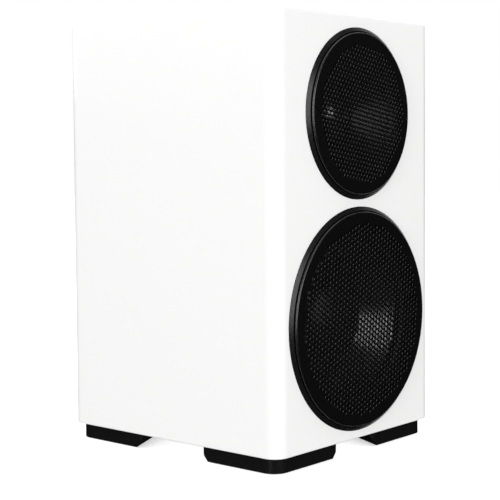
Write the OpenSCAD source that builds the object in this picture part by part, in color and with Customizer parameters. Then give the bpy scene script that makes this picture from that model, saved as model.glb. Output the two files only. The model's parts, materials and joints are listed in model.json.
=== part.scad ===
// Two-way bookshelf speaker: lacquered panel cabinet, woofer, waveguide tweeter, magnetic grilles.
// Millimetres, +Z up, the front faces -Y. The feet stand on z = 0 under the centre of the whole box.

/* [Cabinet] */
// Width of the cabinet
cab_w = 200; // [190:1:260]
// Depth of the cabinet, baffle to back panel
cab_d = 219.3; // [205:0.1:300]
// Height of the cabinet without its feet
cab_h = 322.6; // [318:0.1:400]
// Radius of the four vertical corners
corner_r = 12.1; // [4:0.1:16]
// Thickness of the side, top and bottom panels
side_t = 16; // [12:1:19]
// Thickness of the front baffle
baffle_t = 22; // [19:1:28]
// Thickness of the back panel
back_t = 18; // [17:1:22]
// Thickness of the window brace
brace_t = 12; // [9:1:15]

/* [Feet] */
// Height of a foot moulding above its pad's underside
foot_h = 11.8; // [10:0.1:20]
// How far a pad stands out under its foot
pad_proud = 0.5; // [0.3:0.1:1]
// Distance of the feet from the cabinet's side, front and back faces
foot_inset = 4.3; // [2:0.1:10]
// Length of a foot along each cabinet edge
foot_len = 73; // [55:1:80]

/* [Drivers] */
// Outer radius of the woofer's trim ring
woofer_ring_r = 86.4; // [84:0.1:88]
// Height of the woofer's centre above the cabinet's underside
woofer_h = 92.5; // [90:0.1:100]
// Outer radius of the tweeter's trim ring
tweeter_ring_r = 65.5; // [64:0.1:66]
// Height of the tweeter's centre above the cabinet's underside
tweeter_h = 249.3; // [248:0.1:252]
// Radius of the tweeter dome
dome_r = 12.7; // [12.5:0.1:12.7]

/* [Trim rings and grilles] */
// Width of a trim ring's bevel
bevel_w = 3; // [2:0.1:4]
// Height of a trim ring above the baffle
ring_h = 2.3; // [2:0.1:2.5]
// Gap between a trim ring and its grille
groove_w = 0.9; // [0.5:0.1:1.2]
// Height of a grille's face above the baffle
grille_proud = 4.2; // [4:0.1:5]
// Thickness of the grille sheet
grille_t = 0.8; // [0.6:0.1:0.9]

/* [Rear panel] */
// Height of the bass port's centre above the cabinet's underside
port_h = 249.7; // [240:0.1:262]
// Inner radius of the bass port
port_r = 22; // [18:1:26]
// Length of the bass port
port_len = 100; // [70:1:110]
// Height of the terminal plate's centre above the cabinet's underside
terminal_h = 80; // [75:1:90]
// Distance between the two binding posts
post_pitch = 19.05; // [19:0.01:24]
// Radius of the plug socket in a binding post
socket_r = 2.05; // [2:0.01:2.2]
// Depth of the plug socket in a binding post
socket_len = 18; // [14:1:18]

/* [Hidden] */

$fn = 96;

// the whole box is centred on the origin in y: grilles stand out in front, knobs behind
knob_proud = 6.5;
front_y = -(grille_proud + cab_d + knob_proud) / 2 + grille_proud;
back_y = front_y + cab_d;
cab_z = foot_h + pad_proud;
inner_y0 = front_y + baffle_t;
inner_d = cab_d - baffle_t - back_t;
inner_w = cab_w - 2 * side_t;
floor_z = cab_z + side_t;
woofer_z = cab_z + woofer_h;
tweeter_z = cab_z + tweeter_h;
port_z = cab_z + port_h;
terminal_z = cab_z + terminal_h;
brace_z = cab_z + 174;

// driver rebates: the flange rests on a thin gasket and lies flush with the baffle
gasket_t = 0.8;
flange_t = 4.2;
rebate_d = gasket_t + flange_t;
flange_gap = 0.6;
ring_lap = 3.0;
ring_floor_t = 1.5;
woofer_rebate_r = woofer_ring_r - ring_lap;
tweeter_rebate_r = tweeter_ring_r - ring_lap;
woofer_flange_r = woofer_rebate_r - flange_gap;
tweeter_flange_r = tweeter_rebate_r - flange_gap;
woofer_cut_r = 73.5;
tweeter_cut_r = 48;
grille_gap = 0.3;
lip_w = 0.3;

// driver screws and the small magnets between them, on the floor of each trim ring
screw_r = 2.0;
screw_hole_r = 2.1;
screw_len = 20;
head_r = 2.9;
head_h = 1.4;
socket_hex_r = 1.4;
woofer_pcr = woofer_ring_r - 8.6;
tweeter_pcr = tweeter_ring_r - 8.5;
woofer_screws = 6;
tweeter_screws = 4;
magnet_disc_r = 2.9;
magnet_disc_h = 1.7;

// woofer, heights measured outwards from the baffle's face
ledge_z = -6;
cone_edge_r = 60;
cone_seat_r = 57.5;
cone_neck_z = -29;
cone_t = 0.8;
roll_t = 0.6;
roll_in_r = 59.4;
roll_out_r = 67.2;
former_r = 18.35;
former_t = 0.25;
winding_t = 0.7;
cap_r = 30;
cap_rise = 9;
spider_z = -36;
basket_back_z = -44;
motor_r = 50;
top_plate_t = 6;
magnet_t = 16;
yoke_t = 5;
pole_r = 18.0;
gap_r = 19.9;

// tweeter, heights measured outwards from the baffle's face
mouth_r = 53.5;
throat_r = 15.8;
guide_d = 20.5;
guide_wall = 2.5;
guide_back_z = -24;
guide_power = 0.75;

// terminal plate and binding posts, heights measured outwards from the back panel's face
plate_w = 90;
plate_h = 74;
plate_out = 3.0;
plate_gasket_t = 0.8;
recess_w = 64;
recess_h = 46;
recess_d = 20;
cup_wall = 2.5;
recess_floor = plate_out - recess_d;
post_base_r = 8;
post_base_t = 3.5;
stud_r = 3.0;
stud_top = 3.0;
run_gap = 0.06;
washer_r = 6.5;
washer_t = 1.2;
knob_r = 7.8;
washer_base = recess_floor + post_base_t + 0.3;
knob_base = washer_base + washer_t + 0.3;
plug_hole_r = 2.4;

// crossover board on the floor of the cabinet
board_w = 110;
board_d = 75;
board_t = 1.6;
board_y = 32;
spacer_h = 5;
board_top = floor_z + spacer_h + board_t;

// ---------------------------------------------------------------- helpers

// local +z points out of the baffle, the origin is on its face at height z
module on_baffle(z) translate([0, front_y, z]) rotate([90, 0, 0]) children();

// local +z points out of the back panel, the origin is on its face at x, height z
module on_back(x, z) translate([x, back_y, z]) rotate([-90, 0, 0]) children();

// a turned solid from an outline of [radius, height] points
module lathe(outline) rotate_extrude() polygon(outline);

// copies round a circle of radius r
module around(count, r, turn = 0)
    for (i = [0 : count - 1]) rotate([0, 0, turn + i * 360 / count]) translate([r, 0, 0]) children();

// a tube between two heights
module tube(r_in, r_out, z0, z1)
    translate([0, 0, z0]) difference() {
        cylinder(r = r_out, h = z1 - z0);
        translate([0, 0, -1]) cylinder(r = r_in, h = z1 - z0 + 2);
    }

// a box given by its lowest corner and its size
module block(at, size) translate(at) cube(size);

// points of an arc
function arc(cx, cy, r, a0, a1, steps) =
    [for (i = [0 : steps]) let (a = a0 + (a1 - a0) * i / steps) [cx + r * cos(a), cy + r * sin(a)]];

// plan of a full-width panel of thickness t whose outer corners, at y = 0, are rounded
function panel_plan(t) = concat(
    arc(-cab_w / 2 + corner_r, corner_r, corner_r, 180, 270, 12),
    arc(cab_w / 2 - corner_r, corner_r, corner_r, 270, 360, 12),
    [[cab_w / 2, t], [-cab_w / 2, t]]
);

// a cable of radius r through the points of a path, as an eight-sided tube
sides = 8;
function unit(v) = v / norm(v);
function heading(path, i) =
    unit(path[min(i + 1, len(path) - 1)] - path[max(i - 1, 0)]);
function side_of(d) = abs(d[2]) > 0.9 ? unit(cross(d, [0, 1, 0])) : unit(cross(d, [0, 0, 1]));
module cable(path, r) {
    rings = [for (i = [0 : len(path) - 1])
        let (d = heading(path, i), u = side_of(d), v = cross(d, u))
        for (k = [0 : sides - 1]) path[i] + r * (cos(k * 360 / sides) * u + sin(k * 360 / sides) * v)];
    last = (len(path) - 1) * sides;
    walls = [for (i = [0 : len(path) - 2], k = [0 : sides - 1])
        let (a = i * sides + k, b = i * sides + (k + 1) % sides) [a, b, b + sides, a + sides]];
    ends = [[for (k = [sides - 1 : -1 : 0]) k], [for (k = [0 : sides - 1]) last + k]];
    polyhedron(points = rings, faces = concat(walls, ends));
}

// a smooth curve of the given steps through four control points
function bezier(p, steps) = [for (i = [0 : steps]) let (t = i / steps, s = 1 - t)
    s * s * s * p[0] + 3 * s * s * t * p[1] + 3 * s * t * t * p[2] + t * t * t * p[3]];

// ---------------------------------------------------------------- cabinet

module front_baffle() color("white") difference() {
    translate([0, front_y, cab_z]) linear_extrude(cab_h) polygon(panel_plan(baffle_t));
    on_baffle(woofer_z) {
        translate([0, 0, -rebate_d]) cylinder(r = woofer_rebate_r, h = rebate_d + 1);
        translate([0, 0, -baffle_t - 1]) cylinder(r = woofer_cut_r, h = baffle_t + 2);
        around(woofer_screws, woofer_pcr)
            translate([0, 0, -screw_len - 1]) cylinder(r = screw_hole_r, h = screw_len);
    }
    on_baffle(tweeter_z) {
        translate([0, 0, -rebate_d]) cylinder(r = tweeter_rebate_r, h = rebate_d + 1);
        translate([0, 0, -baffle_t - 1]) cylinder(r = tweeter_cut_r, h = baffle_t + 2);
        around(tweeter_screws, tweeter_pcr, 45)
            translate([0, 0, -screw_len - 1]) cylinder(r = screw_hole_r, h = screw_len);
    }
}

module back_panel() color("white") difference() {
    translate([0, back_y, cab_z]) rotate([0, 0, 180]) linear_extrude(cab_h) polygon(panel_plan(back_t));
    on_back(0, port_z) translate([0, 0, -back_t - 1]) cylinder(r = port_r + 3.2, h = back_t + 2);
    on_back(0, terminal_z) {
        cut_w = recess_w + 2 * cup_wall + 1;
        cut_h = recess_h + 2 * cup_wall + 1;
        block([-cut_w / 2, -cut_h / 2, -back_t - 1], [cut_w, cut_h, back_t + 2]);
        at_plate_corners() translate([0, 0, -15]) cylinder(r = 1.85, h = 16);
    }
}

module side_panel(x) color("white")
    block([x, inner_y0, cab_z], [side_t, inner_d, cab_h]);

module left_side_panel() side_panel(-cab_w / 2);
module right_side_panel() side_panel(cab_w / 2 - side_t);

module top_panel() color("white")
    block([-inner_w / 2, inner_y0, cab_z + cab_h - side_t], [inner_w, inner_d, side_t]);

module bottom_panel() color("white") difference() {
    block([-inner_w / 2, inner_y0, cab_z], [inner_w, inner_d, side_t]);
    at_foot_screws() translate([0, 0, cab_z - 1]) cylinder(r = screw_hole_r, h = 14);
    at_board_corners() translate([0, 0, floor_z - 10]) cylinder(r = 1.6, h = 11);
}

// a frame across the inside, with a large window for the air and the wires
module window_brace() color("burlywood") difference() {
    block([-inner_w / 2, inner_y0, brace_z], [inner_w, inner_d, brace_t]);
    block([-55, inner_y0 + 28, brace_z - 1], [110, inner_d - 56, brace_t + 2]);
}

// soft wadding on the inner side walls, below and above the brace
module acoustic_lining() color("gray") {
    wad_t = 14;
    wad_y0 = inner_y0 + 20;
    wad_d = inner_d - 35;
    for (x = [-inner_w / 2, inner_w / 2 - wad_t]) {
        block([x, wad_y0, floor_z + 32], [wad_t, wad_d, brace_z - floor_z - 38]);
        block([x, wad_y0, brace_z + brace_t + 6], [wad_t, wad_d, 90]);
    }
}

// ---------------------------------------------------------------- trim rings and grilles

// a bevelled ring with a sunken floor that the grille, screws and magnets sit on
module trim_ring(r, floor_r) lathe([
    [floor_r, 0], [r, 0], [r - bevel_w, ring_h], [r - bevel_w - lip_w, ring_h],
    [r - bevel_w - lip_w, ring_floor_t], [floor_r, ring_floor_t]
]);

// a dished steel disc with a turned-back edge
module grille(r) {
    edge_r = r - bevel_w - lip_w - groove_w;
    lathe([
        [0, grille_proud - grille_t], [edge_r - grille_t, grille_proud - grille_t],
        [edge_r - grille_t, ring_floor_t + grille_gap], [edge_r, ring_floor_t + grille_gap],
        [edge_r, grille_proud], [0, grille_proud]
    ]);
}

module woofer_trim_ring() color("black") on_baffle(woofer_z) difference() {
    trim_ring(woofer_ring_r, 72.5);
    around(woofer_screws, woofer_pcr) translate([0, 0, -1]) cylinder(r = screw_hole_r, h = 4);
}

module tweeter_trim_ring() color("black") on_baffle(tweeter_z) difference() {
    trim_ring(tweeter_ring_r, 53.9);
    around(tweeter_screws, tweeter_pcr, 45) translate([0, 0, -1]) cylinder(r = screw_hole_r, h = 4);
}

module woofer_grille() color("black") on_baffle(woofer_z) grille(woofer_ring_r);
module tweeter_grille() color("black") on_baffle(tweeter_z) grille(tweeter_ring_r);

// a socket-head screw that holds a driver to the baffle
module driver_screw() difference() {
    union() {
        translate([0, 0, ring_floor_t]) cylinder(r = head_r, h = head_h);
        translate([0, 0, ring_floor_t - screw_len]) cylinder(r = screw_r, h = screw_len + 0.5);
    }
    translate([0, 0, ring_floor_t + head_h - 1]) cylinder(r = socket_hex_r, h = 2, $fn = 6);
}

module driver_screws() color("dimgray") {
    on_baffle(woofer_z) around(woofer_screws, woofer_pcr) driver_screw();
    on_baffle(tweeter_z) around(tweeter_screws, tweeter_pcr, 45) driver_screw();
}

module grille_magnets() color("silver") {
    on_baffle(woofer_z) around(woofer_screws, woofer_pcr, 30)
        translate([0, 0, ring_floor_t]) cylinder(r = magnet_disc_r, h = magnet_disc_h);
    on_baffle(tweeter_z) around(tweeter_screws, tweeter_pcr)
        translate([0, 0, ring_floor_t]) cylinder(r = magnet_disc_r, h = magnet_disc_h);
}

// a foam ring under a driver's flange
module gasket_ring(r_in, r_out, count, pcr, turn) difference() {
    tube(r_in, r_out, -rebate_d, -flange_t);
    around(count, pcr, turn) translate([0, 0, -rebate_d - 1]) cylinder(r = screw_hole_r, h = 3);
}

module woofer_gasket() color("darkslategray") on_baffle(woofer_z)
    gasket_ring(woofer_cut_r, woofer_flange_r, woofer_screws, woofer_pcr, 0);

module tweeter_gasket() color("darkslategray") on_baffle(tweeter_z)
    gasket_ring(tweeter_cut_r, tweeter_flange_r, tweeter_screws, tweeter_pcr, 45);

// ---------------------------------------------------------------- woofer

// cast frame: flange, six windows between its arms, and a ring that carries spider and motor
module woofer_basket() color("dimgray") on_baffle(woofer_z) difference() {
    lathe([
        [30, basket_back_z], [53, basket_back_z], [53, -40], [72.8, -14], [72.8, -flange_t],
        [woofer_flange_r, -flange_t], [woofer_flange_r, 0], [72.3, 0], [72.3, ledge_z],
        [67, ledge_z], [67, -9], [69.5, -13], [50.5, spider_z], [44, spider_z],
        [44, -40], [30, -40]
    ]);
    around(woofer_screws, woofer_pcr) translate([0, 0, -flange_t - 1]) cylinder(r = screw_hole_r, h = 6);
    for (i = [0 : 5]) rotate([0, 0, i * 60 + 30])
        block([48, -19, -34.5], [30, 38, 19.5]);
}

// half-roll edge between basket and cone
module woofer_surround() color("black") on_baffle(woofer_z) {
    mid_r = (roll_in_r + roll_out_r) / 2;
    roll_r = (roll_out_r - roll_in_r) / 2;
    lathe(concat(
        [[cone_seat_r, ledge_z], [roll_in_r + roll_t, ledge_z]],
        arc(mid_r, ledge_z, roll_r - roll_t, 180, 0, 12),
        [[roll_out_r - roll_t, ledge_z], [72, ledge_z], [72, ledge_z + roll_t],
         [roll_out_r, ledge_z + roll_t]],
        arc(mid_r, ledge_z + roll_t, roll_r, 0, 180, 12),
        [[roll_in_r, ledge_z + roll_t], [cone_seat_r, ledge_z + roll_t]]
    ));
}

// height of the cone's face at radius r, a shallow curve from its edge to its neck
function cone_z(r) =
    let (t = (cone_seat_r - r) / (cone_seat_r - former_r - former_t))
    ledge_z - (ledge_z - cone_neck_z) * (0.8 * t + 0.2 * t * t);

module woofer_cone() color("#1c1c1c") on_baffle(woofer_z) {
    neck_r = former_r + former_t;
    radii = [for (i = [0 : 10]) cone_seat_r + (neck_r - cone_seat_r) * i / 10];
    lathe(concat(
        [[cone_edge_r, ledge_z]],
        [for (r = radii) [r, cone_z(r)]],
        [for (i = [10 : -1 : 0]) [radii[i], cone_z(radii[i]) - cone_t]],
        [[cone_edge_r, ledge_z - cone_t]]
    ));
}

// domed cap over the coil
module woofer_dust_cap() color("#262626") on_baffle(woofer_z) {
    sphere_r = (cap_r * cap_r + cap_rise * cap_rise) / (2 * cap_rise);
    centre_z = cone_z(cap_r) + cap_rise - sphere_r;
    half = asin(cap_r / sphere_r);
    cap_t = 0.7;
    inner_half = acos((cone_z(cap_r) - centre_z) / (sphere_r - cap_t));
    lathe(concat(
        arc(0, centre_z, sphere_r, 90 - half, 90, 10),
        arc(0, centre_z, sphere_r - cap_t, 90, 90 - inner_half, 10)
    ));
}

// corrugated disc that centres the coil
module woofer_spider() color("khaki") on_baffle(woofer_z) {
    waves = 4;
    steps = 32;
    in_r = former_r + former_t;
    out_r = 49;
    flat = 3;
    mid_z = spider_z + 1;
    rolls = [for (i = [0 : steps]) let (r = in_r + flat + (out_r - in_r - 2 * flat) * i / steps)
        [r, mid_z + 1.0 * sin(i * 360 * waves / steps)]];
    sheet_t = 0.7;
    lathe(concat(
        [[in_r, mid_z]], rolls, [[out_r - flat + 0.5, spider_z], [out_r, spider_z],
         [out_r, spider_z + sheet_t], [out_r - flat + 0.5, spider_z + sheet_t + 0.4]],
        [for (i = [steps : -1 : 0]) [rolls[i][0], rolls[i][1] + sheet_t]],
        [[in_r, mid_z + sheet_t]]
    ));
}

// paper former with its copper winding
module woofer_voice_coil() color("peru") on_baffle(woofer_z) {
    tube(former_r, former_r + former_t, -54, cone_neck_z - cone_t + 1.8);
    tube(former_r + former_t, former_r + former_t + winding_t, -53, -41);
}

module woofer_top_plate() color("silver") on_baffle(woofer_z)
    tube(gap_r, motor_r, basket_back_z - top_plate_t, basket_back_z);

module woofer_magnet() color("#303030") on_baffle(woofer_z)
    tube(27, motor_r + 1, basket_back_z - top_plate_t - magnet_t, basket_back_z - top_plate_t);

// back plate and vented pole in one forging
module woofer_yoke() color("silver") on_baffle(woofer_z) {
    plate_z = basket_back_z - top_plate_t - magnet_t;
    lathe([
        [5, plate_z - yoke_t], [motor_r - 1, plate_z - yoke_t], [motor_r - 1, plate_z],
        [pole_r, plate_z], [pole_r, basket_back_z], [5, basket_back_z]
    ]);
}

// two braided leads from the basket to the back of the cone
module woofer_tinsel_leads() color("peru") on_baffle(woofer_z)
    for (x = [-6, 6])
        cable(bezier([[x, 48.5, -32.5], [x, 44, -30], [x, 38, -29], [x, 34.5, -22.5]], 8), 0.7);

// ---------------------------------------------------------------- tweeter

// height of the waveguide's wall at radius r: steep at the throat, flaring to the mouth
function guide_z(r) = -guide_d * (1 - pow((r - throat_r) / (mouth_r - throat_r), guide_power));

module tweeter_waveguide() color("black") on_baffle(tweeter_z) {
    steps = 20;
    wall_steps = 12;
    radii = [for (i = [0 : steps]) throat_r + (mouth_r - throat_r) * pow(i / steps, 1.5)];
    outer_r = 44;
    difference() {
        lathe(concat(
            [for (r = radii) [r, guide_z(r)]],
            [[tweeter_flange_r, 0], [tweeter_flange_r, -flange_t], [47, -flange_t]],
            [for (i = [wall_steps : -1 : 0]) let (r = 27 + (outer_r - 27) * i / wall_steps)
                [r + guide_wall, guide_z(r) - guide_wall]],
            [[34, -17], [34, guide_back_z], [17.2, guide_back_z], [17.2, -guide_d - 0.8],
             [throat_r, -guide_d - 0.8]]
        ));
        around(tweeter_screws, tweeter_pcr, 45)
            translate([0, 0, -flange_t - 1]) cylinder(r = screw_hole_r, h = 6);
    }
}

// soft dome
module tweeter_dome() color("#3a3a3a") on_baffle(tweeter_z) {
    rise = 4.8;
    base_z = -22;
    sphere_r = (dome_r * dome_r + rise * rise) / (2 * rise);
    centre_z = base_z + rise - sphere_r;
    half = asin(dome_r / sphere_r);
    dome_t = 0.4;
    inner_half = acos((base_z - centre_z) / (sphere_r - dome_t));
    lathe(concat(
        arc(0, centre_z, sphere_r, 90 - half, 90, 10),
        arc(0, centre_z, sphere_r - dome_t, 90, 90 - inner_half, 10)
    ));
}

// small half-roll round the dome
module tweeter_surround() color("black") on_baffle(tweeter_z) {
    base_z = -21.9;
    sheet_t = 0.3;
    mid_r = 14.05;
    roll_r = 1.35;
    lathe(concat(
        arc(mid_r, base_z, roll_r - sheet_t, 180, 0, 8),
        [[16.8, base_z], [16.8, base_z + sheet_t], [mid_r + roll_r, base_z + sheet_t]],
        arc(mid_r, base_z + sheet_t, roll_r, 0, 180, 8)
    ));
}

module tweeter_voice_coil() color("peru") on_baffle(tweeter_z) {
    tube(12.35, 12.5, -28, -22);
    tube(12.5, 12.8, -27.5, -24.5);
}

// steel plate with a small collar that the roll is glued to
module tweeter_top_plate() color("silver") on_baffle(tweeter_z) lathe([
    [13.6, -27], [33, -27], [33, guide_back_z], [17, guide_back_z], [17, -21.9],
    [15.6, -21.9], [15.6, guide_back_z], [13.6, guide_back_z]
]);

module tweeter_magnet() color("#303030") on_baffle(tweeter_z) tube(20, 32, -37, -27);

module tweeter_yoke() color("silver") on_baffle(tweeter_z) lathe([
    [4, -41], [31, -41], [31, -37], [12.0, -37], [12.0, guide_back_z], [4, guide_back_z]
]);

// sealed cup behind the motor
module tweeter_rear_chamber() color("black") on_baffle(tweeter_z) lathe([
    [24, -41], [24, -56], [0, -56], [0, -54], [22, -54], [22, -41]
]);

// ---------------------------------------------------------------- rear panel

// moulded bass port with a flared, flanged mouth
module port_tube() color("black") on_back(0, port_z) {
    wall = 2.5;
    flare = 9;
    flange_r = port_r + flare + 6;
    lathe(concat(
        [[port_r, -port_len], [port_r + wall, -port_len], [port_r + wall, -0.2], [port_r + wall, 0],
         [flange_r, 0], [flange_r, 1.2], [flange_r - 1, 2.2], [port_r + flare, 2.2]],
        arc(port_r + flare, 2.2 - flare, flare, 90, 180, 12)
    ));
}

module at_plate_corners() for (x = [-1, 1], y = [-1, 1])
    translate([x * (plate_w / 2 - 6), y * (plate_h / 2 - 6), 0]) children();

// recessed plate for the binding posts
module terminal_cup() color("black") on_back(0, terminal_z) difference() {
    union() {
        block([-plate_w / 2, -plate_h / 2, plate_gasket_t], [plate_w, plate_h, plate_out - plate_gasket_t]);
        block([-recess_w / 2 - cup_wall, -recess_h / 2 - cup_wall, recess_floor - 3],
              [recess_w + 2 * cup_wall, recess_h + 2 * cup_wall, 3 + recess_d - 1]);
    }
    block([-recess_w / 2, -recess_h / 2, recess_floor], [recess_w, recess_h, recess_d + 1]);
    at_plate_corners() translate([0, 0, -1]) cylinder(r = 1.85, h = 6);
    at_posts() translate([0, 0, recess_floor - 4]) cylinder(r = stud_r + 0.2, h = 6);
}

module terminal_gasket() color("darkslategray") on_back(0, terminal_z) difference() {
    block([-plate_w / 2 + 1, -plate_h / 2 + 1, 0], [plate_w - 2, plate_h - 2, plate_gasket_t]);
    block([-recess_w / 2 - cup_wall - 0.3, -recess_h / 2 - cup_wall - 0.3, -1],
          [recess_w + 2 * cup_wall + 0.6, recess_h + 2 * cup_wall + 0.6, 3]);
    at_plate_corners() translate([0, 0, -1]) cylinder(r = 1.85, h = 6);
}

module terminal_screws() color("dimgray") on_back(0, terminal_z) at_plate_corners() {
    head = 1.6;
    difference() {
        translate([0, 0, plate_out]) cylinder(r = 3.2, h = head);
        for (turn = [0, 90]) rotate([0, 0, turn])
            block([-1.9, -0.4, plate_out + head - 0.8], [3.8, 0.8, 1]);
    }
    translate([0, 0, plate_out - 15]) cylinder(r = 1.75, h = 15);
}

// side is -1 for the post at -x and 1 for the post at +x
module at_post(side) translate([side * post_pitch / 2, 0, 0]) children();
module at_posts() for (side = [-1, 1]) at_post(side) children();

// plated post: base flange, stud, shank through the cup, and a socket for a 4 mm plug
module binding_post(side) color("gold") on_back(0, terminal_z) at_post(side) difference() {
    union() {
        translate([0, 0, recess_floor]) cylinder(r = post_base_r, h = post_base_t);
        translate([0, 0, recess_floor - 15]) cylinder(r = stud_r, h = stud_top - recess_floor + 15);
    }
    translate([0, 0, stud_top - socket_len]) cylinder(r = socket_r, h = socket_len + 1);
}

module positive_post() binding_post(1);
module negative_post() binding_post(-1);

module post_nuts() color("gold") on_back(0, terminal_z) at_posts() difference() {
    translate([0, 0, recess_floor - 7]) cylinder(r = 5.5, h = 4, $fn = 6);
    translate([0, 0, recess_floor - 8]) cylinder(r = stud_r + run_gap, h = 6);
}

// loose washer that turns on the stud under the knob
module clamp_washer(side) color("gold") on_back(0, terminal_z) at_post(side)
    tube(stud_r + run_gap, washer_r, washer_base, washer_base + washer_t);

module positive_clamp_washer() clamp_washer(1);
module negative_clamp_washer() clamp_washer(-1);

// fluted knob, threaded on the stud, open at its end for a plug
module knob(side) on_back(0, terminal_z) at_post(side) difference() {
    lathe([
        [stud_r + run_gap, knob_base], [knob_r - 0.8, knob_base], [knob_r, knob_base + 0.8],
        [knob_r, knob_proud - 1.2], [knob_r - 1.2, knob_proud], [plug_hole_r, knob_proud],
        [plug_hole_r, stud_top + 0.4], [stud_r + run_gap, stud_top + 0.4]
    ]);
    around(12, knob_r + 0.7) translate([0, 0, knob_base + 3]) cylinder(r = 1.3, h = 20, $fn = 24);
}

module positive_knob() color("firebrick") knob(1);
module negative_knob() color("#202020") knob(-1);

// ---------------------------------------------------------------- crossover and wires

module at_board_corners() for (x = [-1, 1], y = [-1, 1])
    translate([x * (board_w / 2 - 5), board_y + y * (board_d / 2 - 5), 0]) children();

module crossover_board() color("seagreen") difference() {
    block([-board_w / 2, board_y - board_d / 2, board_top - board_t], [board_w, board_d, board_t]);
    at_board_corners() translate([0, 0, board_top - 3]) cylinder(r = 1.6, h = 5);
}

module crossover_spacers() color("ivory") at_board_corners()
    tube(1.6, 3.5, floor_z, floor_z + spacer_h);

module crossover_screws() color("silver") at_board_corners() {
    translate([0, 0, board_top]) cylinder(r = 2.8, h = 1.8);
    translate([0, 0, floor_z - 9]) cylinder(r = 1.5, h = board_top - floor_z + 9);
}

// an air-cored coil lying flat, and a smaller one beside it
module crossover_inductors() color("peru") {
    translate([-32, 44, board_top]) tube(8, 19, 0, 16);
    translate([34, 49, board_top]) tube(6, 15, 0, 12);
}

// three film capacitors lying on the board
module crossover_capacitors() color("gold") for (x = [12, 27, 42])
    translate([x, 4, board_top + 7]) rotate([-90, 0, 0]) cylinder(r = 7, h = 28);

module crossover_resistors() color("ivory") for (y = [2, 13])
    block([-48, y, board_top], [40, 8, 9]);

// pairs of leads: terminals to board, board to woofer, board to tweeter
module internal_wires() {
    gauge = 1.2;
    post_y = back_y + recess_floor - 15.3;
    for (s = [-1, 1]) {
        color(s > 0 ? "firebrick" : "black") {
            cable(bezier([
                [s * post_pitch / 2, post_y, terminal_z], [s * 9.5, post_y - 14, terminal_z],
                [s * 3, 58, board_top + 45], [s * 3, 58, board_top + 0.3]
            ], 12), gauge);
            cable(bezier([
                [s * 3, 34, board_top + 0.3], [s * 3, 34, board_top + 70],
                [s * 3, front_y + 70, woofer_z - 70], [s * 3, front_y + 36, woofer_z - 59]
            ], 14), gauge);
            cable(bezier([
                [-3 + s * 3, 27, board_top + 0.3], [s * 3, -18, board_top + 190],
                [s * 3, -18, tweeter_z - 90], [s * 3, front_y + 39, tweeter_z - 34.5]
            ], 20), gauge);
        }
    }
}

// ---------------------------------------------------------------- feet

// plan of a foot: rounded outer corner, two straight edges, two slanted inner edges
slant = 0.45;
inner_uv = foot_len / (1 + slant);
function foot_plan(inset, r) = concat(
    arc(r + inset, r + inset, r, 180, 270, 9),
    [[foot_len - inset * 1.8, inset], [inner_uv - inset, inner_uv - inset],
     [inset, foot_len - inset * 1.8]]
);

// one call per cabinet corner: sx and sy are -1 or 1, local x and y run inwards from the corner
module at_corner(sx, sy)
    translate([sx * (cab_w / 2 - foot_inset), sy < 0 ? front_y + foot_inset : back_y - foot_inset, 0])
        mirror([sx > 0 ? 1 : 0, 0, 0]) mirror([0, sy > 0 ? 1 : 0, 0]) children();

module at_all_corners() for (sx = [-1, 1], sy = [-1, 1]) at_corner(sx, sy) children();

module screw_spots() {
    translate([20, 45, 0]) children();
    translate([45, 20, 0]) children();
}

module at_foot_screws() at_all_corners() screw_spots() children();

pad_t = 1.2;
pad_inset = 6;
chamfer_h = 6;
chamfer_w = 6.5;

// wedge that slopes the lower edge of the inner side starting at the foot's end
module end_chamfer() translate([foot_len, 0, 0])
    rotate([0, 0, 90 + atan(slant)]) translate([-20, 0, pad_proud]) rotate([90, 0, 90])
        linear_extrude(90) polygon([
            [-1, -1], [chamfer_w, -1], [chamfer_w, 0], [0, chamfer_h], [-1, chamfer_h]
        ]);

module foot(sx, sy) color("#151515") at_corner(sx, sy) difference() {
    translate([0, 0, pad_proud]) linear_extrude(foot_h) polygon(foot_plan(0, corner_r));
    translate([0, 0, -1]) linear_extrude(1 + pad_t) polygon(foot_plan(pad_inset, corner_r - pad_inset));
    screw_spots() cylinder(r = 4, h = 7);
    screw_spots() cylinder(r = screw_hole_r, h = 20);
    end_chamfer();
    mirror([1, -1, 0]) end_chamfer();
}

module front_left_foot() foot(-1, -1);
module front_right_foot() foot(1, -1);
module rear_left_foot() foot(-1, 1);
module rear_right_foot() foot(1, 1);

module foot_pads() color("#0c0c0c") at_all_corners()
    linear_extrude(pad_t) polygon(foot_plan(pad_inset, corner_r - pad_inset));

module foot_screws() color("silver") at_foot_screws() {
    translate([0, 0, 4.5]) cylinder(r = 3.5, h = 2.5);
    translate([0, 0, 7]) cylinder(r = screw_r, h = 17);
}

// ---------------------------------------------------------------- one call per node

front_baffle();
back_panel();
left_side_panel();
right_side_panel();
top_panel();
bottom_panel();
window_brace();
acoustic_lining();
woofer_gasket();
woofer_basket();
woofer_surround();
woofer_cone();
woofer_dust_cap();
woofer_spider();
woofer_voice_coil();
woofer_top_plate();
woofer_magnet();
woofer_yoke();
woofer_tinsel_leads();
woofer_trim_ring();
woofer_grille();
tweeter_gasket();
tweeter_waveguide();
tweeter_dome();
tweeter_surround();
tweeter_voice_coil();
tweeter_top_plate();
tweeter_magnet();
tweeter_yoke();
tweeter_rear_chamber();
tweeter_trim_ring();
tweeter_grille();
driver_screws();
grille_magnets();
port_tube();
terminal_cup();
terminal_gasket();
terminal_screws();
positive_post();
negative_post();
post_nuts();
positive_clamp_washer();
negative_clamp_washer();
positive_knob();
negative_knob();
crossover_board();
crossover_spacers();
crossover_screws();
crossover_inductors();
crossover_capacitors();
crossover_resistors();
internal_wires();
front_left_foot();
front_right_foot();
rear_left_foot();
rear_right_foot();
foot_pads();
foot_screws();
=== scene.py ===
import json
import math

import bmesh
import bpy
from mathutils import Matrix, Vector
from mathutils.geometry import delaunay_2d_cdt


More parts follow.
